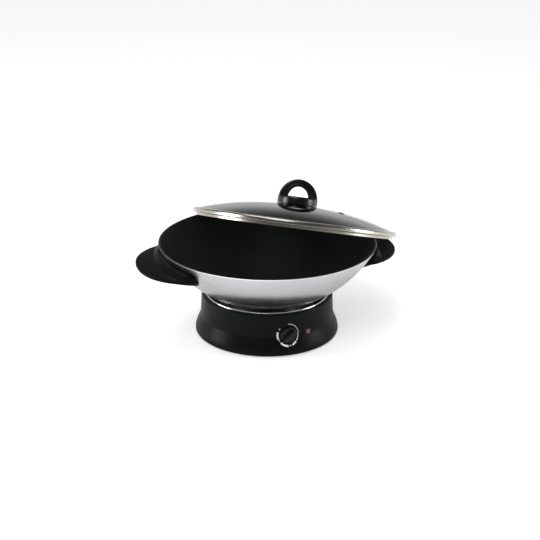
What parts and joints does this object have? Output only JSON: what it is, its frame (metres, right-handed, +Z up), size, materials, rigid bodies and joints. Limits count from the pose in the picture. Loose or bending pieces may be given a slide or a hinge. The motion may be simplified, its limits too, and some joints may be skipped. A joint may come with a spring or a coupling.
{
  "type": "electric wok",
  "caption": "Tabletop electric wok: round heating base with a dial and lamp, lift-off spherical pan with wing handles, and a loose glass lid lying ajar on the rim.",
  "frame": {"origin": "on the base's axis, on the table plane under the rubber feet", "axes": "+Z up; -Y is the front with the dial; the pan's handles lie along +X and -X"},
  "size_m": [0.4767, 0.4547, 0.2219],
  "materials": {
    "housing_black": "satin moulded",
    "polished_steel": "polished",
    "zinc_steel": "zinc plated",
    "cast_aluminium": "cast, turned face",
    "rubber_black": "matt",
    "phenolic_brown": "moulded",
    "block_white": "moulded",
    "lens_red": "clear red",
    "lamp_glass": "clear",
    "lead_brown": "sleeved",
    "lead_white": "sleeved",
    "lead_blue": "sleeved",
    "dial_black": "satin",
    "pan_aluminium": "satin brushed outside, dark non-stick inside",
    "pan_steel": "satin",
    "handle_black": "fine grain",
    "lid_glass_grey": "clear grey",
    "rim_steel": "bright rolled",
    "lid_handle_black": "satin gloss",
    "silicone": "matt"
  },
  "bodies": {
    "base": {"base_housing": "housing_black", "bottom_cover": "zinc_steel", "rubber_foot_1": "rubber_black", "rubber_foot_2": "rubber_black", "rubber_foot_3": "rubber_black", "rubber_foot_4": "rubber_black", "cover_screw_1": "zinc_steel", "cover_screw_2": "zinc_steel", "cover_screw_3": "zinc_steel", "cover_screw_4": "zinc_steel", "trim_ring": "polished_steel", "reflector_dish": "polished_steel", "heating_plate": "cast_aluminium", "plate_spacer_1": "zinc_steel", "plate_spacer_2": "zinc_steel", "plate_spacer_3": "zinc_steel", "heating_element": "zinc_steel", "element_terminal_1": "zinc_steel", "element_terminal_2": "zinc_steel", "sensor_guide": "zinc_steel", "sensor_spring": "polished_steel", "thermostat": "phenolic_brown", "cord_gland": "rubber_black", "terminal_block": "block_white", "thermal_fuse": "cast_aluminium", "lamp_lens": "lens_red", "lamp_holder": "housing_black", "lamp_bulb": "lamp_glass", "wire_supply": "lead_brown", "wire_heat": "lead_white", "wire_return": "lead_blue"},
    "dial": {"dial_knob": "dial_black", "thermostat_shaft": "zinc_steel"},
    "sensor": {"sensor_button": "cast_aluminium"},
    "pan": {"pan_bowl": "pan_aluminium", "pan_base_disc": "pan_steel", "handle_left": "handle_black", "handle_bracket_left": "pan_steel", "handle_screw_left_1": "pan_steel", "handle_screw_left_2": "pan_steel", "handle_right": "handle_black", "handle_bracket_right": "pan_steel", "handle_screw_right_1": "pan_steel", "handle_screw_right_2": "pan_steel"},
    "lid": {"lid_glass": "lid_glass_grey", "lid_rim": "rim_steel", "steam_vent": "rim_steel", "lid_handle": "lid_handle_black", "lid_handle_seat": "lid_handle_black", "lid_washer": "silicone", "lid_screw": "rim_steel"}
  },
  "joints": [
    {"name": "pan_lift", "type": "slide", "parent": "base", "child": "pan", "axis": [0, 0, 1], "range_m": [0, 0.12]},
    {"name": "lid_lift", "type": "slide", "parent": "pan", "child": "lid", "axis": [0, 0, 1], "range_m": [0, 0.15]},
    {"name": "dial_turn", "type": "hinge", "parent": "base", "child": "dial", "pos_m": [0, -0.111, 0.0355], "axis": [0, -1, 0], "range_deg": [-270, 45]},
    {"name": "sensor_press", "type": "slide", "parent": "base", "child": "sensor", "axis": [0, 0, 1], "range_m": [-0.003, 0], "stiffness_N_per_m": 300, "springref_m": 0.003, "deforming": ["sensor_spring"]}
  ]
}
